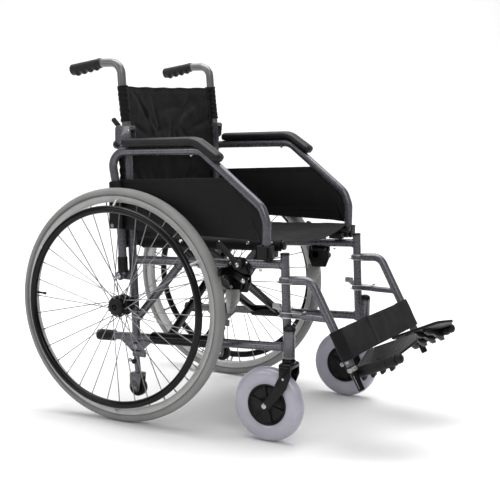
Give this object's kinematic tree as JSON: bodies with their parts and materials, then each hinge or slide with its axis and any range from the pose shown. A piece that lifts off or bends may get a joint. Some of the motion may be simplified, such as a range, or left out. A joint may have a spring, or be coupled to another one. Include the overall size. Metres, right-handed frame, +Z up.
{
  "type": "manual wheelchair",
  "caption": "Folding manual wheelchair with scissor cross brace, spoked rear wheels with handrims, castors, flip-back armrests, slung nylon seat and back, and swing-away legrests.",
  "frame": {"origin": "middle of the chair's footprint, on the floor", "axes": "+X to the sitter's left, -Y forwards, +Z up"},
  "size_m": [0.6684, 1.0539, 0.9396],
  "materials": {
    "frame_paint": "satin metallic grey",
    "black_paint": "gloss black",
    "black_plastic": "fine-grained matt black",
    "panel_plastic": "textured charcoal",
    "grey_tyre": "matt grey",
    "castor_tyre": "glossy lavender grey",
    "rim_alloy": "satin",
    "bright_steel": "bright zinc",
    "nylon": "woven black nylon",
    "pad_skin": "black grained polyurethane"
  },
  "bodies": {
    "right_frame": {"right_side_frame": "frame_paint", "right_tipping_grip": "black_plastic", "right_armrest_socket": "black_plastic", "right_transit_bracket": "frame_paint", "right_axle": "black_plastic", "right_brake_body": "black_paint", "back_lower": "nylon"},
    "left_frame": {"left_side_frame": "frame_paint", "left_tipping_grip": "black_plastic", "left_armrest_socket": "black_plastic", "left_transit_bracket": "frame_paint", "left_axle": "black_plastic", "left_brake_body": "black_paint"},
    "brace_a": {"brace_a": "black_paint", "seat_sling": "nylon"},
    "brace_b": {"brace_b": "black_paint"},
    "right_wheel": {"right_rear_tyre": "grey_tyre", "right_rear_wheel": "rim_alloy", "right_handrim": "black_paint"},
    "right_axle_button": {"right_axle_button": "bright_steel"},
    "right_castor": {"right_castor_fork": "black_paint"},
    "right_castor_wheel": {"right_castor_tyre": "castor_tyre", "right_castor_wheel": "black_plastic"},
    "right_transit_wheel": {"right_transit_wheel": "black_plastic"},
    "right_brake_lever": {"right_brake_lever": "black_plastic"},
    "right_brake_shoe": {"right_brake_shoe": "frame_paint"},
    "right_armrest": {"right_armrest_tube": "frame_paint", "right_side_panel": "panel_plastic", "right_armrest_pad": "pad_skin"},
    "right_upper_back": {"right_upper_cane": "frame_paint", "right_grip": "black_plastic", "back_upper": "nylon"},
    "right_back_release": {"right_back_release": "black_plastic"},
    "right_legrest": {"right_legrest": "frame_paint", "right_foot_tube": "black_paint", "right_calf_strap": "nylon"},
    "right_legrest_latch": {"right_latch_lever": "frame_paint"},
    "right_footplate": {"right_footplate": "black_plastic"},
    "left_wheel": {"left_rear_tyre": "grey_tyre", "left_rear_wheel": "rim_alloy", "left_handrim": "black_paint"},
    "left_axle_button": {"left_axle_button": "bright_steel"},
    "left_castor": {"left_castor_fork": "black_paint"},
    "left_castor_wheel": {"left_castor_tyre": "castor_tyre", "left_castor_wheel": "black_plastic"},
    "left_transit_wheel": {"left_transit_wheel": "black_plastic"},
    "left_brake_lever": {"left_brake_lever": "black_plastic"},
    "left_brake_shoe": {"left_brake_shoe": "frame_paint"},
    "left_armrest": {"left_armrest_tube": "frame_paint", "left_side_panel": "panel_plastic", "left_armrest_pad": "pad_skin"},
    "left_upper_back": {"left_upper_cane": "frame_paint", "left_grip": "black_plastic"},
    "left_back_release": {"left_back_release": "black_plastic"},
    "left_legrest": {"left_legrest": "frame_paint", "left_foot_tube": "black_paint", "left_calf_strap": "nylon"},
    "left_legrest_latch": {"left_latch_lever": "frame_paint"},
    "left_footplate": {"left_footplate": "black_plastic"}
  },
  "joints": [
    {"name": "fold", "type": "hinge", "parent": "right_frame", "child": "brace_a", "pos_m": [-0.23, 0.06227, 0.22135], "axis": [0, -0.9983, 0.0584], "range_deg": [0, 25], "deforming": ["seat_sling", "back_upper", "back_lower", "right_calf_strap", "left_calf_strap"]},
    {"name": "brace_cross", "type": "hinge", "parent": "brace_a", "child": "brace_b", "pos_m": [0, 0.06997, 0.35278], "axis": [0, -0.9983, 0.0584], "range_deg": [-50, 0]},
    {"name": "brace_to_left", "type": "hinge", "parent": "brace_b", "child": "left_frame", "pos_m": [0.23, 0.06227, 0.22135], "axis": [0, -0.9983, 0.0584], "range_deg": [0, 25]},
    {"name": "right_wheel_spin", "type": "hinge", "parent": "right_frame", "child": "right_wheel", "pos_m": [-0.291, 0.222, 0.305], "axis": [1, 0, 0], "continuous": true},
    {"name": "right_axle_release", "type": "slide", "parent": "right_frame", "child": "right_axle_button", "axis": [1, 0, 0], "range_m": [0, 0.004], "stiffness_N_per_m": 400},
    {"name": "right_castor_swivel", "type": "hinge", "parent": "right_frame", "child": "right_castor", "pos_m": [-0.246, -0.24, 0.2], "axis": [0, 0, 1], "continuous": true},
    {"name": "right_castor_spin", "type": "hinge", "parent": "right_castor", "child": "right_castor_wheel", "pos_m": [-0.246, -0.189, 0.094], "axis": [1, 0, 0], "continuous": true},
    {"name": "right_transit_spin", "type": "hinge", "parent": "right_frame", "child": "right_transit_wheel", "pos_m": [-0.23, 0.206, 0.079], "axis": [1, 0, 0], "continuous": true},
    {"name": "right_brake", "type": "hinge", "parent": "right_frame", "child": "right_brake_lever", "pos_m": [-0.257, -0.1, 0.436], "axis": [1, 0, 0], "range_deg": [0, 60]},
    {"name": "right_brake_press", "type": "hinge", "parent": "right_frame", "child": "right_brake_shoe", "pos_m": [-0.256, -0.118, 0.398], "axis": [-1, 0, 0], "range_deg": [0, 7.5]},
    {"name": "right_armrest_flip", "type": "hinge", "parent": "right_frame", "child": "right_armrest", "pos_m": [-0.257, 0.244, 0.378], "axis": [-1, 0, 0], "range_deg": [0, 100]},
    {"name": "right_back_fold", "type": "hinge", "parent": "right_frame", "child": "right_upper_back", "pos_m": [-0.23, 0.268, 0.716], "axis": [-1, 0, 0], "range_deg": [0, 100]},
    {"name": "right_back_unlock", "type": "hinge", "parent": "right_upper_back", "child": "right_back_release", "pos_m": [-0.23, 0.269, 0.763], "axis": [1, 0, 0], "range_deg": [0, 25], "stiffness_Nm_per_rad": 0.6},
    {"name": "right_legrest_swing", "type": "hinge", "parent": "right_frame", "child": "right_legrest", "pos_m": [-0.23, -0.22288, 0.33821], "axis": [0, -0.0584, -0.9983], "range_deg": [0, 90]},
    {"name": "right_legrest_unlock", "type": "hinge", "parent": "right_legrest", "child": "right_legrest_latch", "pos_m": [-0.23, -0.22288, 0.33821], "axis": [0, 0.0584, 0.9983], "range_deg": [0, 20]},
    {"name": "right_footplate_flip", "type": "hinge", "parent": "right_legrest", "child": "right_footplate", "pos_m": [-0.2, -0.4, 0.19], "axis": [0, -0.9085, 0.4179], "range_deg": [0, 75]},
    {"name": "left_wheel_spin", "type": "hinge", "parent": "left_frame", "child": "left_wheel", "pos_m": [0.291, 0.222, 0.305], "axis": [1, 0, 0], "continuous": true},
    {"name": "left_axle_release", "type": "slide", "parent": "left_frame", "child": "left_axle_button", "axis": [-1, 0, 0], "range_m": [0, 0.004], "stiffness_N_per_m": 400},
    {"name": "left_castor_swivel", "type": "hinge", "parent": "left_frame", "child": "left_castor", "pos_m": [0.246, -0.24, 0.2], "axis": [0, 0, 1], "continuous": true},
    {"name": "left_castor_spin", "type": "hinge", "parent": "left_castor", "child": "left_castor_wheel", "pos_m": [0.246, -0.189, 0.094], "axis": [1, 0, 0], "continuous": true},
    {"name": "left_transit_spin", "type": "hinge", "parent": "left_frame", "child": "left_transit_wheel", "pos_m": [0.23, 0.206, 0.079], "axis": [1, 0, 0], "continuous": true},
    {"name": "left_brake", "type": "hinge", "parent": "left_frame", "child": "left_brake_lever", "pos_m": [0.257, -0.1, 0.436], "axis": [1, 0, 0], "range_deg": [0, 60]},
    {"name": "left_brake_press", "type": "hinge", "parent": "left_frame", "child": "left_brake_shoe", "pos_m": [0.256, -0.118, 0.398], "axis": [-1, 0, 0], "range_deg": [0, 7.5]},
    {"name": "left_armrest_flip", "type": "hinge", "parent": "left_frame", "child": "left_armrest", "pos_m": [0.257, 0.244, 0.378], "axis": [-1, 0, 0], "range_deg": [0, 100]},
    {"name": "left_back_fold", "type": "hinge", "parent": "left_frame", "child": "left_upper_back", "pos_m": [0.23, 0.268, 0.716], "axis": [-1, 0, 0], "range_deg": [0, 100]},
    {"name": "left_back_unlock", "type": "hinge", "parent": "left_upper_back", "child": "left_back_release", "pos_m": [0.23, 0.269, 0.763], "axis": [1, 0, 0], "range_deg": [0, 25], "stiffness_Nm_per_rad": 0.6},
    {"name": "left_legrest_swing", "type": "hinge", "parent": "left_frame", "child": "left_legrest", "pos_m": [0.23, -0.22288, 0.33821], "axis": [0, 0.0584, 0.9983], "range_deg": [0, 90]},
    {"name": "left_legrest_unlock", "type": "hinge", "parent": "left_legrest", "child": "left_legrest_latch", "pos_m": [0.23, -0.22288, 0.33821], "axis": [0, -0.0584, -0.9983], "range_deg": [0, 20]},
    {"name": "left_footplate_flip", "type": "hinge", "parent": "left_legrest", "child": "left_footplate", "pos_m": [0.2, -0.4, 0.19], "axis": [0, 0.9085, -0.4179], "range_deg": [0, 75]}
  ],
  "couplings": [
    {"joint": "brace_cross", "follows": "fold", "ratio": -2},
    {"joint": "brace_to_left", "follows": "fold", "ratio": 1},
    {"joint": "right_brake_press", "follows": "right_brake", "ratio": 0.125},
    {"joint": "left_brake_press", "follows": "left_brake", "ratio": 0.125},
    {"joint": "left_back_fold", "follows": "right_back_fold", "ratio": 1}
  ]
}
